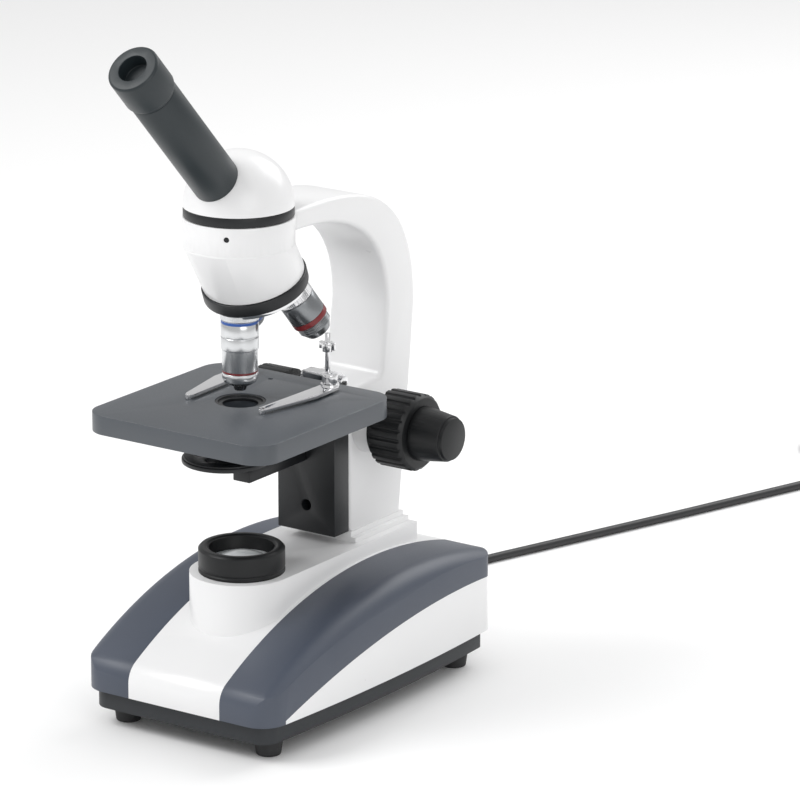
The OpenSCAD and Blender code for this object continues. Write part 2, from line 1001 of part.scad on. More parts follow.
// Turning disc with a circle of light holes of growing size
module diaphragm_disc() {
    hole_r = [7, 5.5, 4.2, 3, 2, 1.2];
    color("#1c2022")
        place()
            translate([0, disc_y, stage_bottom - 19.5])
                difference() {
                    union() {
                        cylinder(h = 3.2, r = disc_r - 1);
                        cylinder(h = 2.2, r = disc_r);
                    }
                    translate([0, 0, -1])
                        cylinder(h = 6, r = 1.9 + fit_gap);
                    for (i = [0:5])
                        rotate(90 + i * 60)
                            translate([-disc_y, 0, -1])
                                cylinder(h = 6, r = hole_r[i]);
                }
}

module substage_arm() {
    color("#1c2022")
        place()
            translate([-bar_w, bar_front, stage_bottom - 37.5])
                cube([bar_w, carrier_front - bar_front, 6.5]);
}

// Round body under the head, cut square to the turret's axis
module nose_body() {
    color("whitesmoke")
        place()
            difference() {
                union() {
                    translate([0, 0, seam_z])
                        cylinder(h = band_low - seam_z - 0.3, r = head_r);
                    hull() {
                        translate([0, 0, seam_z - 1])
                            cylinder(h = 1, r = head_r, $fn = 48);
                        on_turret()
                            translate([0, 0, nose_cut_d - 1])
                                cylinder(h = 1, r = turret_r - 1, $fn = 48);
                    }
                }
                translate([-big / 2, 24, seam_z])
                    cube([big, big, big]);
                translate([0, 0, seam_z - big / 2])
                    cylinder(h = big, r = optic_bore_r + 1);
                translate([0, 0, band_low - spigot_h])
                    cylinder(h = 10, r = spigot_r + fit_gap);
                set_screw_axis()
                    cylinder(h = 20, r = set_screw_r);
                on_turret()
                    translate([0, 0, nose_cut_d - 12])
                        cylinder(h = 20, r = pivot_r);
            }
}

module set_screw_axis() {
    translate([0, 0, band_low - spigot_h - 2.2])
        rotate([90, 0, set_screw_turn])
            translate([0, 0, head_r - 7])
                children();
}
module head_set_screw() {
    color("black")
        place()
            set_screw_axis()
                cylinder(h = 6.6, r = set_screw_r);
}

module turret_screw() {
    color("silver")
        place()
            on_turret()
                translate([0, 0, nose_cut_d - 11]) {
                    cylinder(h = ring_low_d + 3 - nose_cut_d + 11, r = pivot_r - fit_gap);
                    translate([0, 0, ring_low_d + 2.6 - nose_cut_d + 11])
                        cylinder(h = 2.5, r = 4.6);
                }
}

module objective_bores() {
    for (number = [0:2])
        on_objective(number)
            translate([0, 0, ring_high_d - 20])
                cylinder(h = 60, r = optic_bore_r);
}

module turret_ring() {
    color("#1c2022")
        place()
            difference() {
                on_turret()
                    translate([0, 0, ring_high_d])
                        ring(turret_r, pivot_r, ring_low_d - ring_high_d);
                objective_bores();
            }
}

module turret_plate() {
    color("silver")
        place()
            difference() {
                union() {
                    on_turret()
                        translate([0, 0, ring_low_d])
                            cylinder(h = 2.5, r = turret_r - 2);
                    for (number = [0:2])
                        intersection() {
                            on_objective(number)
                                translate([0, 0, ring_low_d - 10])
                                    cylinder(h = shoulder_d - ring_low_d + 10, r = objective_r + 0.2);
                            on_turret()
                                translate([0, 0, ring_low_d])
                                    cylinder(h = 20, r = turret_r + 4);
                        }
                }
                on_turret()
                    cylinder(h = big, r = pivot_r);
                for (number = [0:2])
                    on_objective(number)
                        translate([0, 0, shoulder_d])
                            cylinder(h = 20, r = objective_r + 1);
                objective_bores();
            }
}

// Barrel made of a mount, a sleeve and a nose, bored through for the light
module objective(number, length, nose_l) {
    color("silver")
        place()
            on_objective(number)
                translate([0, 0, shoulder_d])
                    difference() {
                        union() {
                            cylinder(h = 4, r = objective_r - 0.6);
                            translate([0, 0, 3])
                                cylinder(h = length - nose_l - 3, r = objective_r);
                            translate([0, 0, length - nose_l])
                                cylinder(h = nose_l, r1 = objective_r - 1, r2 = objective_r - 4);
                        }
                        translate([0, 0, -1])
                            cylinder(h = length - nose_l / 2, r = optic_bore_r - 1);
                        cylinder(h = length + 1, r = 3);
                    }
}
module objective_low() {
    objective(2, 30, 5);
}
module objective_mid() {
    objective(1, 34, 6);
}
module objective_high() {
    nose_start = high_l - 3.5;
    color("silver")
        place()
            on_objective(0)
                translate([0, 0, shoulder_d])
                    difference() {
                        union() {
                            cylinder(h = 4, r = objective_r - 0.6);
                            translate([0, 0, 3])
                                cylinder(h = 15, r = objective_r);
                            translate([0, 0, 17])
                                cylinder(h = nose_start - 20, r = objective_r - 0.9);
                            translate([0, 0, nose_start - 3])
                                cylinder(h = 3, r1 = objective_r - 0.9, r2 = objective_r - 4);
                        }
                        translate([0, 0, -1])
                            cylinder(h = nose_start - 15, r = 5);
                        translate([0, 0, nose_start - 16.5])
                            cylinder(h = 20, r = 5.2 + fit_gap);
                    }
}

// Spring loaded front of the high power objective
module objective_nose() {
    color("silver")
        place()
            on_objective(0)
                translate([0, 0, shoulder_d + high_l - 17])
                    difference() {
                        union() {
                            cylinder(h = 12, r = 5.2);
                            translate([0, 0, 12])
                                cylinder(h = 5, r1 = 5.2, r2 = 3);
                        }
                        translate([0, 0, -1])
                            cylinder(h = 14, r = 3.6);
                        cylinder(h = 20, r = 1.8);
                    }
}

module head_band() {
    color("#1c2022")
        place()
            difference() {
                union() {
                    translate([0, 0, band_low])
                        cylinder(h = band_high - band_low, r = head_r - 0.3);
                    translate([0, 0, band_low - spigot_h + 0.3])
                        cylinder(h = spigot_h, r = spigot_r);
                }
                translate([0, 0, band_low - 10])
                    cylinder(h = 30, r = optic_bore_r + 1);
            }
}

module head_dome() {
    color("whitesmoke")
        place()
            difference() {
                intersection() {
                    translate([0, 0, band_high])
                        sphere(head_r - 0.1, $fn = 96);
                    translate([-big / 2, -big / 2, band_high])
                        cube(big);
                }
                translate([0, 0, band_high - 1])
                    cylinder(h = 13, r = 15);
                on_tube()
                    cylinder(h = big, r = tube_r);
            }
}

// Glass prism that bends the light into the inclined tube
module prism() {
    color("lightcyan", 0.5)
        place()
            translate([-7, -7, band_high])
                cube([14, 14, 9]);
}

module eyepiece_tube() {
    color("#33393d")
        place()
            on_tube()
                translate([0, 0, 24])
                    ring(tube_r, barrel_r + fit_gap, tube_end_d - 24.3);
}

module eyepiece_barrel() {
    color("silver")
        place()
            on_tube()
                translate([0, 0, tube_end_d - 34])
                    ring(barrel_r, barrel_r - 1.2, 34);
}

module eyecup() {
    color("#262b2e")
        place()
            on_tube()
                translate([0, 0, tube_end_d])
                    difference() {
                        union() {
                            cylinder(h = 3, r = eyecup_r - 0.8);
                            translate([0, 0, 2])
                                cylinder(h = eyecup_l - eyecup_chamfer - 2, r = eyecup_r);
                            translate([0, 0, eyecup_l - eyecup_chamfer])
                                cylinder(h = eyecup_chamfer, r1 = eyecup_r, r2 = eyecup_r - eyecup_chamfer);
                        }
                        translate([0, 0, -1])
                            cylinder(h = eyecup_l - 8, r = 9);
                        translate([0, 0, eyecup_l - 8])
                            cylinder(h = 10, r = 7.8);
                    }
}

module eye_lens() {
    color("lightcyan", 0.5)
        place()
            on_tube() {
                translate([0, 0, tube_end_d + eyecup_l - 13])
                    cylinder(h = 4, r = 8.95);
                translate([0, 0, tube_end_d - 33])
                    cylinder(h = 3, r = barrel_r - 1.25);
            }
}

base_shell();
left_shoulder_panel();
right_shoulder_panel();
base_plate();
rubber_feet();
foot_screws();
transformer();
power_board();
lamp_holder();
lamp();
illuminator_collar();
collector_lens();
switch_housing();
power_switch();
cord_gland();
cord();
cord_coil();
mains_plug();
arm();
arm_screws();
focus_collars();
shaft_bushes();
coarse_shaft();
coarse_pinion();
coarse_knob_right();
coarse_knob_left();
fine_shaft();
fine_knob_right();
fine_knob_left();
fine_slide_block();
stage_carrier();
focus_rack();
stage_plate();
stage_insert();
clip_screws();
right_clip();
left_clip();
stop_bracket();
stop_screw();
stop_nut();
diaphragm_mount();
diaphragm_disc();
substage_arm();
nose_body();
head_set_screw();
turret_screw();
turret_ring();
turret_plate();
objective_low();
objective_mid();
objective_high();
objective_nose();
head_band();
head_dome();
prism();
eyepiece_tube();
eyepiece_barrel();
eyecup();
eye_lens();
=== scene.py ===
import json
import math

import bmesh
import bpy
from mathutils import Matrix, Vector


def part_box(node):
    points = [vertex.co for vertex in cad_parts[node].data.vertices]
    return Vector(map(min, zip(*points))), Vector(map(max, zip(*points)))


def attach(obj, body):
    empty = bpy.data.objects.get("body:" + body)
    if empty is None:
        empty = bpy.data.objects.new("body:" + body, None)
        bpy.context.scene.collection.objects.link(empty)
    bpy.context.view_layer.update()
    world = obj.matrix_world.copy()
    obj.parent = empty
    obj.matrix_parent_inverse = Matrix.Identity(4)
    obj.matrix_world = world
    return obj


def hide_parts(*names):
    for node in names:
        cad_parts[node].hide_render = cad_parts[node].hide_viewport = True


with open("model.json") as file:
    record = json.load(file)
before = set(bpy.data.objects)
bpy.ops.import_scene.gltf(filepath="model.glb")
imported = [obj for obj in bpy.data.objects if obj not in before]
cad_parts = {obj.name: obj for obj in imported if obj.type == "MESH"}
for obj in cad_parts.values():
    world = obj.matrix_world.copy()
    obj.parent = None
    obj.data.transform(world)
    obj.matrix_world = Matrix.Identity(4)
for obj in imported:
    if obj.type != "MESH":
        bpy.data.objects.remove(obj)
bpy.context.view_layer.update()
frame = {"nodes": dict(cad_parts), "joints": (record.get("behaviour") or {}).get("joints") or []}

# ---- Place of the camera, and the frame that every piece is set out from.
# The camera stands a little above the stage, in front of the instrument and to its right.
nodes = frame["nodes"]
joints = {joint["name"]: joint for joint in frame["joints"]}
camera = bpy.data.objects.new("camera", bpy.data.cameras.new("camera"))
bpy.context.scene.collection.objects.link(camera)
bpy.context.scene.camera = camera
camera_elevation = 16.526
camera_azimuth = 35.038
camera.data.lens = 247.5
camera.data.sensor_width = 36
camera.location = (1.6653, -2.2528, 1.0012)
camera.rotation_euler = (math.radians(90 - camera_elevation), 0, math.radians(camera_azimuth))

# ---- Mains cord: two cores in a black flexible sheath, 1.8 m long and 5 mm thick.
# It hangs from the strain relief to the table, runs off to the back, and the spare length
# is wound on the table into a flat coil of two layers, with the plug beyond it.
mm = 0.001


def fine_texture():
    """Shared grain and patches: a fine grain for the finish, broad patches for its shade."""
    group = bpy.data.node_groups.new("fine_texture", "ShaderNodeTree")
    for label, value in (("Grain size", 0.0005), ("Grain depth", 0.00002), ("Patch size", 0.03)):
        socket = group.interface.new_socket(label, in_out="INPUT", socket_type="NodeSocketFloat")
        socket.default_value = value
    for label, kind in (("Grain", "Float"), ("Patches", "Float"), ("Normal", "Vector")):
        group.interface.new_socket(label, in_out="OUTPUT", socket_type="NodeSocket" + kind)
    source = group.nodes.new("NodeGroupInput")
    sink = group.nodes.new("NodeGroupOutput")
    place = group.nodes.new("ShaderNodeTexCoord")
    for size, result, detail in (("Grain size", "Grain", 3), ("Patch size", "Patches", 4)):
        scale = group.nodes.new("ShaderNodeMath")
        scale.operation = "DIVIDE"
        scale.inputs[0].default_value = 1
        group.links.new(source.outputs[size], scale.inputs[1])
        noise = group.nodes.new("ShaderNodeTexNoise")
        noise.inputs["Detail"].default_value = detail
        group.links.new(place.outputs["Object"], noise.inputs["Vector"])
        group.links.new(scale.outputs[0], noise.inputs["Scale"])
        group.links.new(noise.outputs["Fac"], sink.inputs[result])
        if result == "Grain":
            bump = group.nodes.new("ShaderNodeBump")
            bump.inputs["Strength"].default_value = 0.6
            group.links.new(noise.outputs["Fac"], bump.inputs["Height"])
            group.links.new(source.outputs["Grain depth"], bump.inputs["Distance"])
            group.links.new(bump.outputs["Normal"], sink.inputs["Normal"])
    return group


texture = fine_texture()


def coated(name, shades, rough, grain, patch=0.03, metallic=0.0, coat=0.0, gloss=0.5):
    """A finish whose shade wanders between two colours, with fine grain of (size, depth)."""
    material = bpy.data.materials.new(name)
    material.use_nodes = True
    tree = material.node_tree
    shader = tree.nodes["Principled BSDF"]
    shader.inputs["Metallic"].default_value = metallic
    shader.inputs["Coat Weight"].default_value = coat
    shader.inputs["Specular IOR Level"].default_value = gloss
    shader.inputs["Coat Roughness"].default_value = 0.12
    fine = tree.nodes.new("ShaderNodeGroup")
    fine.node_tree = texture
    fine.inputs["Grain size"].default_value = grain[0]
    fine.inputs["Grain depth"].default_value = grain[1]
    fine.inputs["Patch size"].default_value = patch
    blend = tree.nodes.new("ShaderNodeMix")
    blend.data_type = "RGBA"
    blend.inputs["A"].default_value = (*shades[0], 1)
    blend.inputs["B"].default_value = (*shades[1], 1)
    tree.links.new(fine.outputs["Patches"], blend.inputs["Factor"])
    tree.links.new(blend.outputs["Result"], shader.inputs["Base Color"])
    spread = tree.nodes.new("ShaderNodeMapRange")
    spread.inputs["To Min"].default_value = rough[0]
    spread.inputs["To Max"].default_value = rough[1]
    tree.links.new(fine.outputs["Grain"], spread.inputs["Value"])
    tree.links.new(spread.outputs["Result"], shader.inputs["Roughness"])
    tree.links.new(fine.outputs["Normal"], shader.inputs["Normal"])
    return material


def piece(name, mesh_or_bm, material, slot, body, *stood_for, sharp=32):
    """Makes the finished piece: one object at the origin, riding on its body."""
    if isinstance(mesh_or_bm, bmesh.types.BMesh):
        mesh = bpy.data.meshes.new(name)
        mesh_or_bm.to_mesh(mesh)
        mesh_or_bm.free()
        mesh.shade_smooth()
        mesh.set_sharp_from_angle(angle=math.radians(sharp))
    else:
        mesh = mesh_or_bm
    mesh.materials.append(material)
    made = bpy.data.objects.new(name, mesh)
    bpy.context.scene.collection.objects.link(made)
    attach(made, body)
    if stood_for:
        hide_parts(*stood_for)
    return made


def turned(profile, place, steps=96, break_edges=0.25):
    """Spins a profile of (radius, height) in millimetres, and breaks its sharp edges."""
    bm = bmesh.new()
    verts = [bm.verts.new((r * mm, 0, z * mm)) for r, z in profile]
    edges = [bm.edges.new(pair) for pair in zip(verts, verts[1:])]
    bmesh.ops.spin(bm, geom=verts + edges, cent=(0, 0, 0), axis=(0, 0, 1), angle=math.tau,
                   steps=steps, use_merge=True)
    bmesh.ops.remove_doubles(bm, verts=bm.verts, dist=1e-6)
    bmesh.ops.recalc_face_normals(bm, faces=bm.faces)
    soften(bm, break_edges)
    bm.transform(place)
    return bm


def soften(bm, width, angle=28, segments=2, chosen=None):
    """Bevels the edges that turn by more than an angle, by a width in millimetres."""
    if width <= 0:
        return
    edges = [e for e in bm.edges if len(e.link_faces) == 2
             and e.calc_face_angle(0) > math.radians(angle) and (chosen is None or chosen(e))]
    bmesh.ops.bevel(bm, geom=edges, offset=width * mm, offset_type="OFFSET", affect="EDGES",
                    segments=segments, profile=0.5, material=-1, clamp_overlap=True)


sheath = coated("cord_sheath", ((0.012, 0.012, 0.013), (0.022, 0.022, 0.024)), (0.32, 0.5),
                (0.0007, 0.00002))
black_moulding = coated("black_moulding", ((0.004, 0.0045, 0.005), (0.008, 0.009, 0.01)),
                        (0.34, 0.5), (0.0005, 0.00003), gloss=0.35)
plated_pin = coated("plated_pin", ((0.62, 0.6, 0.55), (0.7, 0.68, 0.63)), (0.18, 0.3),
                    (0.0006, 0.000004), metallic=1.0)

cord_d = 0.005
cord_exit = Vector((-0.030, 0.1475, 0.036))
cord_path = [
    (-30, 147.5, 36), (-30, 157.5, 35.5), (-30, 168.5, 32.5), (-31, 179.5, 26.5), (-32, 190.5, 18.5),
    (-34, 202.5, 11), (-37, 214.5, 5.5), (-40, 226.5, 3), (-42, 240.5, 2.6), (-41, 256.5, 2.6),
    (-37, 271.5, 2.6), (-32, 286.5, 2.6), (-25, 307.5, 2.6), (-17, 331.5, 2.6), (-9, 355.5, 2.6),
    (-1, 379.5, 2.6), (7, 403.5, 2.6), (14, 425.5, 2.6), (21, 447.5, 2.6), (28, 469.5, 2.6),
    (35, 491.5, 2.6), (41, 511.5, 2.6), (47, 529.5, 2.6), (52.5, 547.5, 2.6), (57, 565.5, 2.6),
    (59.3, 577.5, 2.6),
]
tail_path = [
    (60, 589.5, 7.6), (60, 597.5, 7.5), (60, 605.5, 6.4), (60, 615.5, 4.2), (60, 627.5, 2.8),
    (60.4, 639.5, 2.8), (61.3, 651.5, 4.2), (62.5, 663.5, 7), (63.6, 675.5, 9.6), (64.5, 687.5, 10.5),
]
coil_centre = (25, 585.5)
lower_layer = 2.6
upper_layer = 7.6
turn_radii = (35, 30, 25, 20, 20, 25, 30, 35)
steps_a_turn = 24


def eased(share, start, end):
    """0 before start, 1 after end, and smooth between them."""
    t = min(max((share - start) / (end - start), 0), 1)
    return t * t * (3 - 2 * t)


def coil_turns():
    """Four turns wind inwards on the table, then three wind outwards on top of them."""
    for turn in range(7):
        for step in range(steps_a_turn):
            share = step / steps_a_turn
            climbs = turn == 3
            window = (2 / 3, 5 / 6) if turn > 3 else (5 / 6, 1)
            move = eased(share, *window)
            radius = turn_radii[turn] + move * (turn_radii[turn + 1] - turn_radii[turn])
            height = upper_layer if turn > 3 else lower_layer
            if climbs:
                height += move * (upper_layer - lower_layer)
            angle = math.tau * share
            yield (coil_centre[0] + radius * math.cos(angle),
                   coil_centre[1] + radius * math.sin(angle), height)


def smooth_curve(name, points, diameter, material, body):
    """A round bar along one smooth open spline."""
    curve = bpy.data.curves.new(name, "CURVE")
    curve.dimensions = "3D"
    curve.bevel_depth = diameter / 2
    curve.bevel_resolution = 5
    curve.resolution_u = 5
    curve.use_fill_caps = True
    spline = curve.splines.new("BEZIER")
    spline.bezier_points.add(len(points) - 1)
    for knot, point in zip(spline.bezier_points, points):
        knot.co = [value * mm for value in point]
        knot.handle_left_type = knot.handle_right_type = "AUTO"
    curve.materials.append(material)
    made = bpy.data.objects.new(name, curve)
    bpy.context.scene.collection.objects.link(made)
    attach(made, body)
    return made


cord_line = cord_path + list(coil_turns()) + tail_path
cord = smooth_curve("mains_cord", cord_line, cord_d, sheath, "base")
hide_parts("cord", "cord_coil")

# Ribbed strain relief, moulded in the sheath's rubber and pressed into the back wall.
relief_place = Matrix.Translation(cord_exit) @ Matrix.Rotation(math.radians(-90), 4, "X")
relief_profile = [(2.4, -34.5), (5, -34.5), (5, -25), (7, -25), (7, -22.4), (5.4, -22.4)]
for rib in range(6):
    start = -21 + rib * 3.3
    outer = 5.3 - rib * 0.3
    relief_profile += [(outer - 0.8, start), (outer - 0.8, start + 0.9), (outer, start + 1.1),
                       (outer - 0.05, start + 2.9)]
relief_profile += [(3.2, -0.6), (2.4, 0)]
relief = piece("strain_relief", turned(relief_profile, relief_place, 64, 0.2), sheath,
               "cord_sheath", "base", "cord_gland")

# A soft tie holds the turns of the coil together.
tie_bm = bmesh.new()
bmesh.ops.create_cube(tie_bm, size=1)
bmesh.ops.scale(tie_bm, vec=(21.2 * mm, 6 * mm, 10.5 * mm), verts=tie_bm.verts)
side_faces = [f for f in tie_bm.faces if abs(f.normal.y) > 0.9]
bmesh.ops.delete(tie_bm, geom=side_faces, context="FACES_ONLY")
soften(tie_bm, 2.2, segments=4)
bmesh.ops.recalc_face_normals(tie_bm, faces=tie_bm.faces)
bmesh.ops.solidify(tie_bm, geom=tie_bm.faces[:], thickness=0.4 * mm)
tie_bm.transform(Matrix.Translation((coil_centre[0] * mm, coil_centre[1] * mm, 0.0054))
                 @ Matrix.Rotation(math.radians(150), 4, "Z") @ Matrix.Translation((0.0275, 0, 0)))
tie = piece("cord_tie", tie_bm, black_moulding, "black_plastic", "base")

# Two pin plug: a moulded body with finger grips and two round plated pins.
plug_place = (Matrix.Translation((0.0645, 0.6855, 0.0105)) @ Matrix.Rotation(math.radians(87), 4, "Z")
              @ Matrix.Rotation(math.radians(90), 4, "Y"))
plug_bm = bmesh.new()
bmesh.ops.create_cube(plug_bm, size=1)
bmesh.ops.scale(plug_bm, vec=(19.6 * mm, 29.6 * mm, 27.6 * mm), verts=plug_bm.verts)
bmesh.ops.translate(plug_bm, vec=(0, 0, 26 * mm), verts=plug_bm.verts)
for vert in plug_bm.verts:
    if vert.co.z < 20 * mm:
        vert.co.x *= 0.8
        vert.co.y *= 0.72
bmesh.ops.subdivide_edges(plug_bm, edges=plug_bm.edges, cuts=1, use_grid_fill=True)
soften(plug_bm, 4.5, segments=5)
for grip in range(4):
    level = (17 + grip * 4.5) * mm
    for plane in (level, level + 1.6 * mm):
        bmesh.ops.bisect_plane(plug_bm, geom=plug_bm.verts[:] + plug_bm.edges[:] + plug_bm.faces[:],
                               plane_co=(0, 0, plane), plane_no=(0, 0, 1))
    groove = [v for v in plug_bm.verts if level - 1e-5 < v.co.z < level + 1.61 * mm]
    for vert in groove:
        if abs(vert.co.y) > 8 * mm:
            vert.co.y *= 0.955
plug_bm.transform(plug_place)
plug = piece("plug_body", plug_bm, black_moulding, "black_plastic", "base", "mains_plug")
sleeve_profile = [(2.4, -2), (3.4, 0), (3.9, 3), (3.4, 3.4), (3.4, 4.4), (4.6, 5), (4.8, 8),
                  (4.2, 8.4), (4.2, 9.4), (5.9, 10), (6.1, 14)]
plug_sleeve = piece("plug_sleeve", turned(sleeve_profile, plug_place, 48, 0.2), black_moulding,
                    "black_plastic", "base")
pins_bm = bmesh.new()
for side in (-1, 1):
    pin = turned([(0, 38), (2.4, 38), (2.4, 54.5), (1.6, 55.8), (0, 56)],
                 plug_place @ Matrix.Translation((0, side * 6.5 * mm, 0)), 32, 0.15)
    pin_mesh = bpy.data.meshes.new("pin")
    pin.to_mesh(pin_mesh)
    pins_bm.from_mesh(pin_mesh)
    bpy.data.meshes.remove(pin_mesh)
    pin.free()
plug_pins = piece("plug_pins", pins_bm, plated_pin, "steel", "base")

# ---- White base shell: one casting of thin walled alloy with a platform for the column,
# finished in glossy white stove enamel. Its strip runs between the two shoulder panels.
white_enamel = coated("white_enamel", ((0.78, 0.78, 0.784), (0.8, 0.8, 0.803)), (0.26, 0.32),
                      (0.006, 0.0000005), patch=0.06, coat=0.15)


def from_cad(node):
    """A welded copy of a CAD node, its flat faces made whole again."""
    bm = bmesh.new()
    bm.from_mesh(nodes[node].data)
    bmesh.ops.remove_doubles(bm, verts=bm.verts, dist=2e-6)
    bmesh.ops.dissolve_limit(bm, angle_limit=math.radians(0.4), verts=bm.verts, edges=bm.edges)
    return bm


def dressed(node, material, slot, body, width=0.3, segments=2, chosen=None, sharp=32):
    """A CAD part with its sharp edges broken, as filing or moulding leaves them."""
    bm = from_cad(node)
    soften(bm, width, 28, segments, chosen)
    return piece(node + "_finished", bm, material, slot, body, node, sharp=sharp)


dressed("base_shell", white_enamel, "white_enamel", "base", 0.5)

# ---- Shoulder panels: two slate coloured mouldings let into the base on either side.
# They follow the arch of the base, and their edges are rounded where they meet the shell.
slate = coated("slate_plastic", ((0.055, 0.066, 0.09), (0.066, 0.078, 0.107)), (0.36, 0.5),
               (0.0006, 0.00003), patch=0.05)
for side in ("left", "right"):
    dressed(side + "_shoulder_panel", slate, "slate_plastic", "base", 0.5)

# ---- Base plate: the dark skirt under the base, a pressed pan held by two screws,
# standing on four rubber feet that are screwed on.
skirt_enamel = coated("skirt_enamel", ((0.016, 0.018, 0.021), (0.024, 0.027, 0.031)), (0.4, 0.54),
                      (0.0007, 0.00003), gloss=0.4)
foot_rubber = coated("foot_rubber", ((0.014, 0.015, 0.016), (0.03, 0.03, 0.031)), (0.62, 0.82),
                     (0.0006, 0.00006), patch=0.008)
turned_steel = coated("turned_steel", ((0.5, 0.51, 0.52), (0.6, 0.61, 0.62)), (0.2, 0.34),
                      (0.0004, 0.000004), metallic=1.0)
dressed("base_plate", skirt_enamel, "dark_plate", "base", 0.6)
dressed("rubber_feet", foot_rubber, "rubber", "base", 0.7, 3)
dressed("foot_screws", turned_steel, "steel", "base", 0.2)


def repaint(node, material):
    """Gives a CAD node that shows as it is its finish."""
    mesh = nodes[node].data
    mesh.materials.clear()
    mesh.materials.append(material)


# ---- Electrics inside the base: a varnished iron transformer, a green board, a ceramic
# holder and the lamp under the platform. They are seen only through the openings.
varnish = coated("iron_core", ((0.09, 0.07, 0.055), (0.14, 0.11, 0.09)), (0.45, 0.65),
                 (0.0012, 0.00005), patch=0.01, metallic=0.4)
board_green = coated("board", ((0.03, 0.17, 0.08), (0.045, 0.23, 0.11)), (0.3, 0.45),
                     (0.0008, 0.00002))
ceramic = coated("ceramic", ((0.7, 0.67, 0.58), (0.78, 0.75, 0.66)), (0.4, 0.55),
                 (0.0006, 0.00003))
repaint("transformer", varnish)
repaint("power_board", board_green)
repaint("lamp_holder", ceramic)


def glass(name, tint, bloom):
    """Clear glass with faint wipe marks, which show as patches of roughness."""
    material = bpy.data.materials.new(name)
    material.use_nodes = True
    tree = material.node_tree
    shader = tree.nodes["Principled BSDF"]
    shader.inputs["Base Color"].default_value = (*tint, 1)
    shader.inputs["Transmission Weight"].default_value = 1
    shader.inputs["IOR"].default_value = 1.5
    fine = tree.nodes.new("ShaderNodeGroup")
    fine.node_tree = texture
    fine.inputs["Grain size"].default_value = 0.004
    fine.inputs["Grain depth"].default_value = 0.000002
    spread = tree.nodes.new("ShaderNodeMapRange")
    spread.inputs["To Min"].default_value = 0.01
    spread.inputs["To Max"].default_value = bloom
    tree.links.new(fine.outputs["Patches"], spread.inputs["Value"])
    tree.links.new(spread.outputs["Result"], shader.inputs["Roughness"])
    return material


bulb_glass = glass("bulb_glass", (1, 0.97, 0.88), 0.2)
lens_glass = glass("lens_glass", (0.93, 0.97, 0.98), 0.05)
repaint("lamp", bulb_glass)

# ---- Illuminator: a black collar turned on the platform, with a step near its foot and a
# recess for a round filter. A ground glass collector lens sits inside it, its pale colour partly painted
# reflection.
collar_low, collar_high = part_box("illuminator_collar")
optic_place = Matrix.Translation(((collar_low.x + collar_high.x) / 2,
                                  (collar_low.y + collar_high.y) / 2, collar_low.z))
collar_r = (collar_high.x - collar_low.x) / 2 / mm
collar_h = (collar_high.z - collar_low.z) / mm
collar_profile = [
    (15, 0), (collar_r, 0), (collar_r, 1.4), (collar_r - 0.5, 1.8), (collar_r - 0.5, 2.6),
    (collar_r, 3), (collar_r, collar_h - 1.4), (collar_r - 1.3, collar_h), (19.2, collar_h),
    (18.4, collar_h - 0.8), (17.6, collar_h - 0.9), (17.6, 4), (15, 4), (15, 0),
]
piece("illuminator_collar_finished", turned(collar_profile, optic_place, 128, 0.2), black_moulding,
      "black_plastic", "base", "illuminator_collar")
# Painted reflection: the lens's pale grey-white is partly the whitish look of ground glass and partly the
# bright reflection on the lens.
ground_glass_painted_reflection = coated("ground_glass_painted_reflection", ((0.62, 0.65, 0.66), (0.74, 0.77, 0.78)), (0.1, 0.22),
                      (0.0006, 0.00001), coat=0.6)
repaint("collector_lens", ground_glass_painted_reflection)

# ---- Mains switch in the left wall: a black moulded rocker in a black moulded frame.
# The frame snaps into the shell, and the rocker tips in it.
dressed("switch_housing", black_moulding, "black_plastic", "base", 0.3)
dressed("power_switch", black_moulding, "black_plastic", "switch_rocker", 0.4, 3)

# ---- Column and C arm: one white casting with well rounded edges. It stands on the
# platform and is held from below by two screws.
arm_low, arm_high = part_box("arm")


def arm_rim(edge):
    """The long edges between the arm's outline and its two flat sides."""
    near_side = all(abs(v.co.x) > arm_high.x - 1e-5 for v in edge.verts)
    shaft = Vector(joints["coarse_turn"]["pos_m"])
    off_shaft = all((v.co.yz - shaft.yz).length > 0.009 for v in edge.verts)
    foot = all(v.co.z < arm_low.z + 1e-4 for v in edge.verts)
    return near_side and off_shaft and not foot and edge.calc_face_angle(0) > 1.2


dressed("arm", white_enamel, "white_enamel", "base", 2.6, 5, arm_rim, sharp=40)
dressed("arm_screws", turned_steel, "steel", "base", 0.2)

# ---- Focus drive: ribbed coarse knobs with smaller fine knobs outside them, moulded in
# black, on coaxial steel shafts that run in brass bushes behind white collars.
brass = coated("brass", ((0.55, 0.4, 0.16), (0.62, 0.47, 0.2)), (0.22, 0.38),
               (0.0005, 0.000005), metallic=1.0)
dressed("focus_collars", white_enamel, "white_enamel", "base", 1.0, 4)
for node in ("shaft_bushes", "coarse_pinion", "focus_rack", "fine_slide_block"):
    repaint(node, brass)
for node in ("coarse_shaft", "fine_shaft", "turret_screw"):
    repaint(node, turned_steel)
for side in ("right", "left"):
    dressed("coarse_knob_" + side, black_moulding, "black_plastic", "coarse_drive", 0.25)
    dressed("fine_knob_" + side, black_moulding, "black_plastic", "fine_drive", 0.4)

# ---- Stage carrier: the black enamelled slide that carries the stage up and down the
# column, with an accessory hole near its lower end.
black_enamel = coated("black_enamel", ((0.006, 0.007, 0.008), (0.012, 0.013, 0.015)), (0.32, 0.46),
                      (0.0008, 0.00003), gloss=0.4)
dressed("stage_carrier", black_enamel, "black_enamel", "stage", 0.7, 3)

# ---- Stage: a cast plate in slate enamel with rounded corners and a broken top edge.
# A black ring is let in round its opening.
stage_enamel = coated("stage_enamel", ((0.042, 0.05, 0.06), (0.052, 0.061, 0.073)), (0.32, 0.44),
                      (0.0007, 0.00003), patch=0.05, gloss=0.8)
dressed("stage_plate", stage_enamel, "stage_enamel", "stage", 1.2, 4)
dressed("stage_insert", black_enamel, "black_enamel", "stage", 0.25)

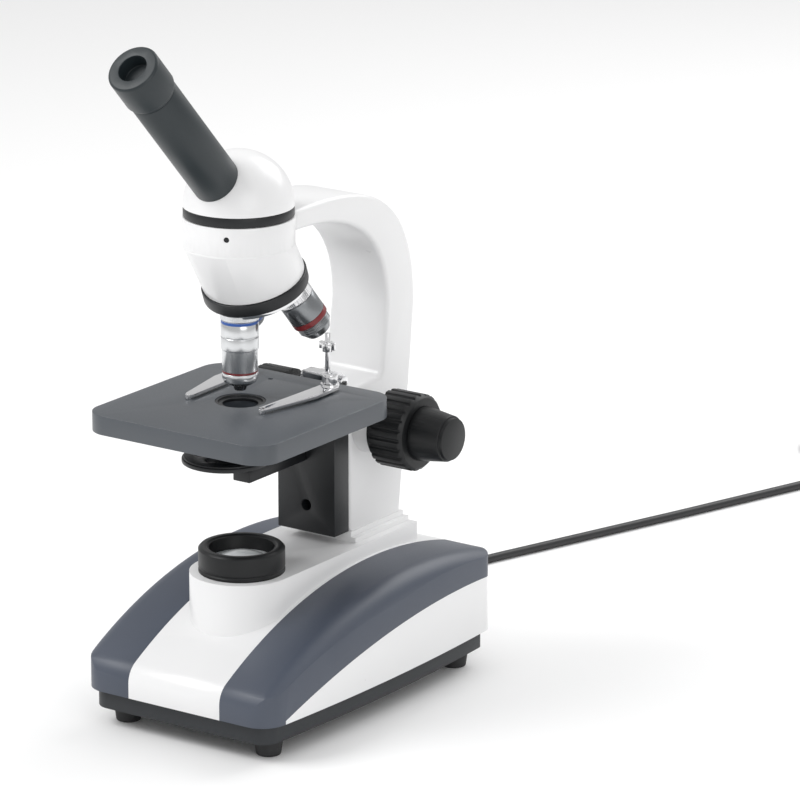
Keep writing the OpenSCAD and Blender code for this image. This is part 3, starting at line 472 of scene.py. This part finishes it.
# ---- Slide clips: bright plated spring leaves that taper to a narrow tip. A plated screw
# holds each one, and the leaf swings round it.
chrome = coated("chrome_plate", ((0.75, 0.75, 0.76), (0.82, 0.82, 0.83)), (0.07, 0.16),
                (0.002, 0.000004), metallic=1.0)
dressed("clip_screws", chrome, "chrome", "stage", 0.3)
for side in ("right", "left"):
    dressed(side + "_clip", chrome, "chrome", side + "_clip", 0.3)

# ---- Focus stop behind the stage: a small plated bracket on top of the carrier, with an
# upright screw and a wing nut that sets how high the stage can go.
dressed("stop_bracket", chrome, "chrome", "stage", 0.4)
dressed("stop_screw", chrome, "chrome", "stage", 0.3)
dressed("stop_nut", chrome, "chrome", "stop_nut", 0.3)

# ---- Disc diaphragm under the stage: a black disc with a circle of holes that turns on a
# pin in its mount. A black bar reaches forward from the carrier below it.
dressed("diaphragm_mount", black_enamel, "black_enamel", "stage", 0.3)
dressed("diaphragm_disc", black_enamel, "black_enamel", "diaphragm", 0.3)
dressed("substage_arm", black_enamel, "black_enamel", "stage", 0.5)

# ---- Nose body: the white enamelled body under the head, cut square to the tilted axis
# that the turret turns on. A small black set screw holds the head in it.
dressed("nose_body", white_enamel, "white_enamel", "base", 0.4)
dressed("head_set_screw", black_enamel, "black_enamel", "base", 0.2)

# ---- Turret: a black revolving ring over a plated plate. Three objectives, turned in plated
# and grey metal with painted rings, are screwed into it round its tilted axis.
satin_chrome = coated("satin_chrome", ((0.62, 0.63, 0.64), (0.7, 0.71, 0.72)), (0.16, 0.26),
                      (0.0004, 0.000003), metallic=1.0)
dressed("turret_ring", black_enamel, "black_enamel", "turret", 0.8, 3)
dressed("turret_plate", chrome, "chrome", "turret", 0.4)
turret_tilt = math.atan2(joints["turret_turn"]["axis"][1], -joints["turret_turn"]["axis"][2])
turret_place = (Matrix.Translation(joints["turret_turn"]["pos_m"])
                @ Matrix.Rotation(math.pi + turret_tilt, 4, "X"))
shoulder_reach = 50 * mm
knurl_teeth = 60
sleeve_bore = 6.2
mount_length = 6.6
ring_start = 11.9
ring_stop = 9
end_start = 8.9
rib_pitch = 1.4


def objective_place(number):
    """Where an objective's shoulder stands; number 0 is the one in use."""
    return (turret_place @ Matrix.Rotation(math.tau * number / 3, 4, "Z")
            @ Matrix.Rotation(-turret_tilt, 4, "X") @ Matrix.Translation((0, 0, shoulder_reach)))


def knurled(bm, low, high, place, depth=0.35):
    """Cuts fine straight knurls round a turned sleeve between two heights."""
    back = place.inverted()
    for vert in bm.verts:
        local = back @ vert.co
        if low * mm < local.z < high * mm and local.xy.length > 9 * mm:
            tooth = round(math.atan2(local.y, local.x) / math.tau * 2 * knurl_teeth) % 2
            local.xy *= 1 - tooth * depth * mm / local.xy.length
            vert.co = place @ local


ring_blue = coated("ring_blue", ((0.01, 0.07, 0.32), (0.014, 0.09, 0.38)), (0.25, 0.35),
                   (0.0004, 0.000005))
ring_red = coated("ring_dark_red", ((0.16, 0.012, 0.016), (0.2, 0.018, 0.02)), (0.25, 0.35),
                  (0.0004, 0.000005))
grey_anodised = coated("grey_anodised", ((0.22, 0.23, 0.24), (0.28, 0.29, 0.3)), (0.24, 0.34),
                       (0.0004, 0.000004), metallic=1.0)
nose_start = 39.5
high_place = objective_place(0)
high_profile = [
    (5.3, 0), (9.8, 0), (9.8, 0.6), (10.3, 1), (10.3, 1.2), (10.3, 3.8), (10.3, 4), (9.9, 4.3),
    (9.9, 6.2), (10.1, 6.6), (10.1, 12.8), (9.8, 13), (9.8, 13.4), (10.1, 13.6), (10.1, 20),
    (9.5, 20.4), (9.5, 31.8), (9.2, 32), (9.2, 33), (9.5, 33.2), (9.5, 36.4), (8.6, 38.2),
    (6.5, nose_start), (5.3, nose_start), (5.3, 24), (5.3, 0),
]
high_bm = turned(high_profile, high_place, 240, 0.1)
knurled(high_bm, 1.1, 3.9, high_place)
piece("high_power_barrel", high_bm, satin_chrome, "satin_chrome", "turret", "objective_high")
piece("high_power_blue_ring",
      turned([(9.7, 4.5), (10, 4.5), (10, 6), (9.7, 6), (9.7, 4.5)], high_place, 128, 0.08),
      ring_blue, "satin_chrome", "turret")
piece("high_power_red_ring",
      turned([(9, 32.1), (9.45, 32.1), (9.45, 32.9), (9, 32.9), (9, 32.1)], high_place, 128, 0.08),
      ring_red, "satin_chrome", "turret")
dressed("objective_nose", chrome, "chrome", "objective_nose", 0.2)

# The two shorter ones have a bright mount, a grey sleeve, a colour ring and a ribbed end.
for number, node, length, ring_finish in ((1, "objective_mid", 34, ring_blue),
                                          (2, "objective_low", 30, ring_red)):
    place = objective_place(number)
    label = node.replace("objective_", "") + "_power"
    mount = [(sleeve_bore, 0), (9.8, 0), (9.8, 0.6), (10.3, 1), (10.3, 1.2), (10.3, 5.8),
             (10.3, 6), (9.9, mount_length), (sleeve_bore, mount_length), (sleeve_bore, 0)]
    mount_bm = turned(mount, place, 240, 0.1)
    knurled(mount_bm, 1.1, 5.9, place)
    piece(label + "_mount", mount_bm, chrome, "chrome", "turret", node)
    sleeve = [(sleeve_bore, 6.7), (10.1, 6.7), (10.1, length - 12), (sleeve_bore, length - 12),
              (sleeve_bore, 6.7)]
    piece(label + "_sleeve", turned(sleeve, place, 128, 0.15), grey_anodised, "satin_chrome",
          "turret")
    ring = [(sleeve_bore, length - ring_start), (10.15, length - ring_start),
            (10.15, length - ring_stop), (sleeve_bore, length - ring_stop),
            (sleeve_bore, length - ring_start)]
    piece(label + "_ring", turned(ring, place, 128, 0.15), ring_finish, "satin_chrome", "turret")
    end = [(sleeve_bore, length - end_start), (9.6, length - end_start)]
    for rib in range(3):
        start = length - 8.3 + rib * rib_pitch
        end += [(9.3, start), (8.9, start + 0.3), (8.9, start + 0.7), (9.3, start + 1)]
    end += [(8.6, length - 3.6), (6.6, length - 0.2), (5, length), (3.2, length - 0.4),
            (3.2, length - 2), (sleeve_bore, length - 4), (sleeve_bore, length - end_start)]
    piece(label + "_end", turned(end, place, 128, 0.1), grey_anodised, "satin_chrome", "turret")

# ---- Head: a white enamelled dome on a black band, which turns on the nose body. It holds
# the prism, and the inclined tube goes into it.
dressed("head_band", black_enamel, "black_enamel", "head", 0.5)
dressed("head_dome", white_enamel, "white_enamel", "head", 0.3)
repaint("prism", lens_glass)

# ---- Eyepiece: a satin dark tube, a plated barrel that slips into it, and a black cup with
# a stepped edge round the eye lens.
tube_finish = coated("tube_enamel", ((0.012, 0.018, 0.021), (0.018, 0.025, 0.029)), (0.34, 0.46),
                     (0.0006, 0.00002), gloss=0.45)
dressed("eyepiece_tube", tube_finish, "tube_enamel", "head", 0.4)
dressed("eyepiece_barrel", satin_chrome, "satin_chrome", "eyepiece", 0.2)
dressed("eyecup", tube_finish, "black_plastic", "eyepiece", 0.5, 4)
repaint("eye_lens", lens_glass)

# ---- Studio: a flat pale floor in even white light. Three soft boxes stand above it, to
# the front, to the right and behind.
floor_bm = bmesh.new()
bmesh.ops.create_grid(floor_bm, x_segments=1, y_segments=1, size=6)
floor_mesh = bpy.data.meshes.new("floor")
floor_bm.to_mesh(floor_mesh)
floor_bm.free()
floor = bpy.data.objects.new("floor", floor_mesh)
bpy.context.scene.collection.objects.link(floor)
floor_finish = bpy.data.materials.new("floor_finish")
floor_finish.use_nodes = True
floor_finish.node_tree.nodes["Principled BSDF"].inputs["Base Color"].default_value = (0.95, 0.95, 0.95, 1)
floor_finish.node_tree.nodes["Principled BSDF"].inputs["Roughness"].default_value = 0.6
floor_mesh.materials.append(floor_finish)


def soft_box(name, place, aim, size, power):
    """A square area light turned towards a point."""
    light = bpy.data.lights.new(name, "AREA")
    light.size = size
    light.energy = power
    made = bpy.data.objects.new(name, light)
    made.location = place
    made.rotation_euler = (Vector(aim) - Vector(place)).to_track_quat("-Z", "Y").to_euler()
    bpy.context.scene.collection.objects.link(made)


middle = (0, 0, 0.18)
soft_box("key", (-0.9, -1.0, 1.5), middle, 1.0, 19)
soft_box("fill", (1.5, -0.9, 0.9), middle, 1.2, 7)
soft_box("back", (0.3, 1.4, 1.3), middle, 1.2, 14)
world = bpy.data.worlds.new("studio")
bpy.context.scene.world = world
world.use_nodes = True
world.node_tree.nodes["Background"].inputs["Color"].default_value = (1, 1, 1, 1)
world.node_tree.nodes["Background"].inputs["Strength"].default_value = 0.66
bpy.context.scene.view_settings.view_transform = "Standard"
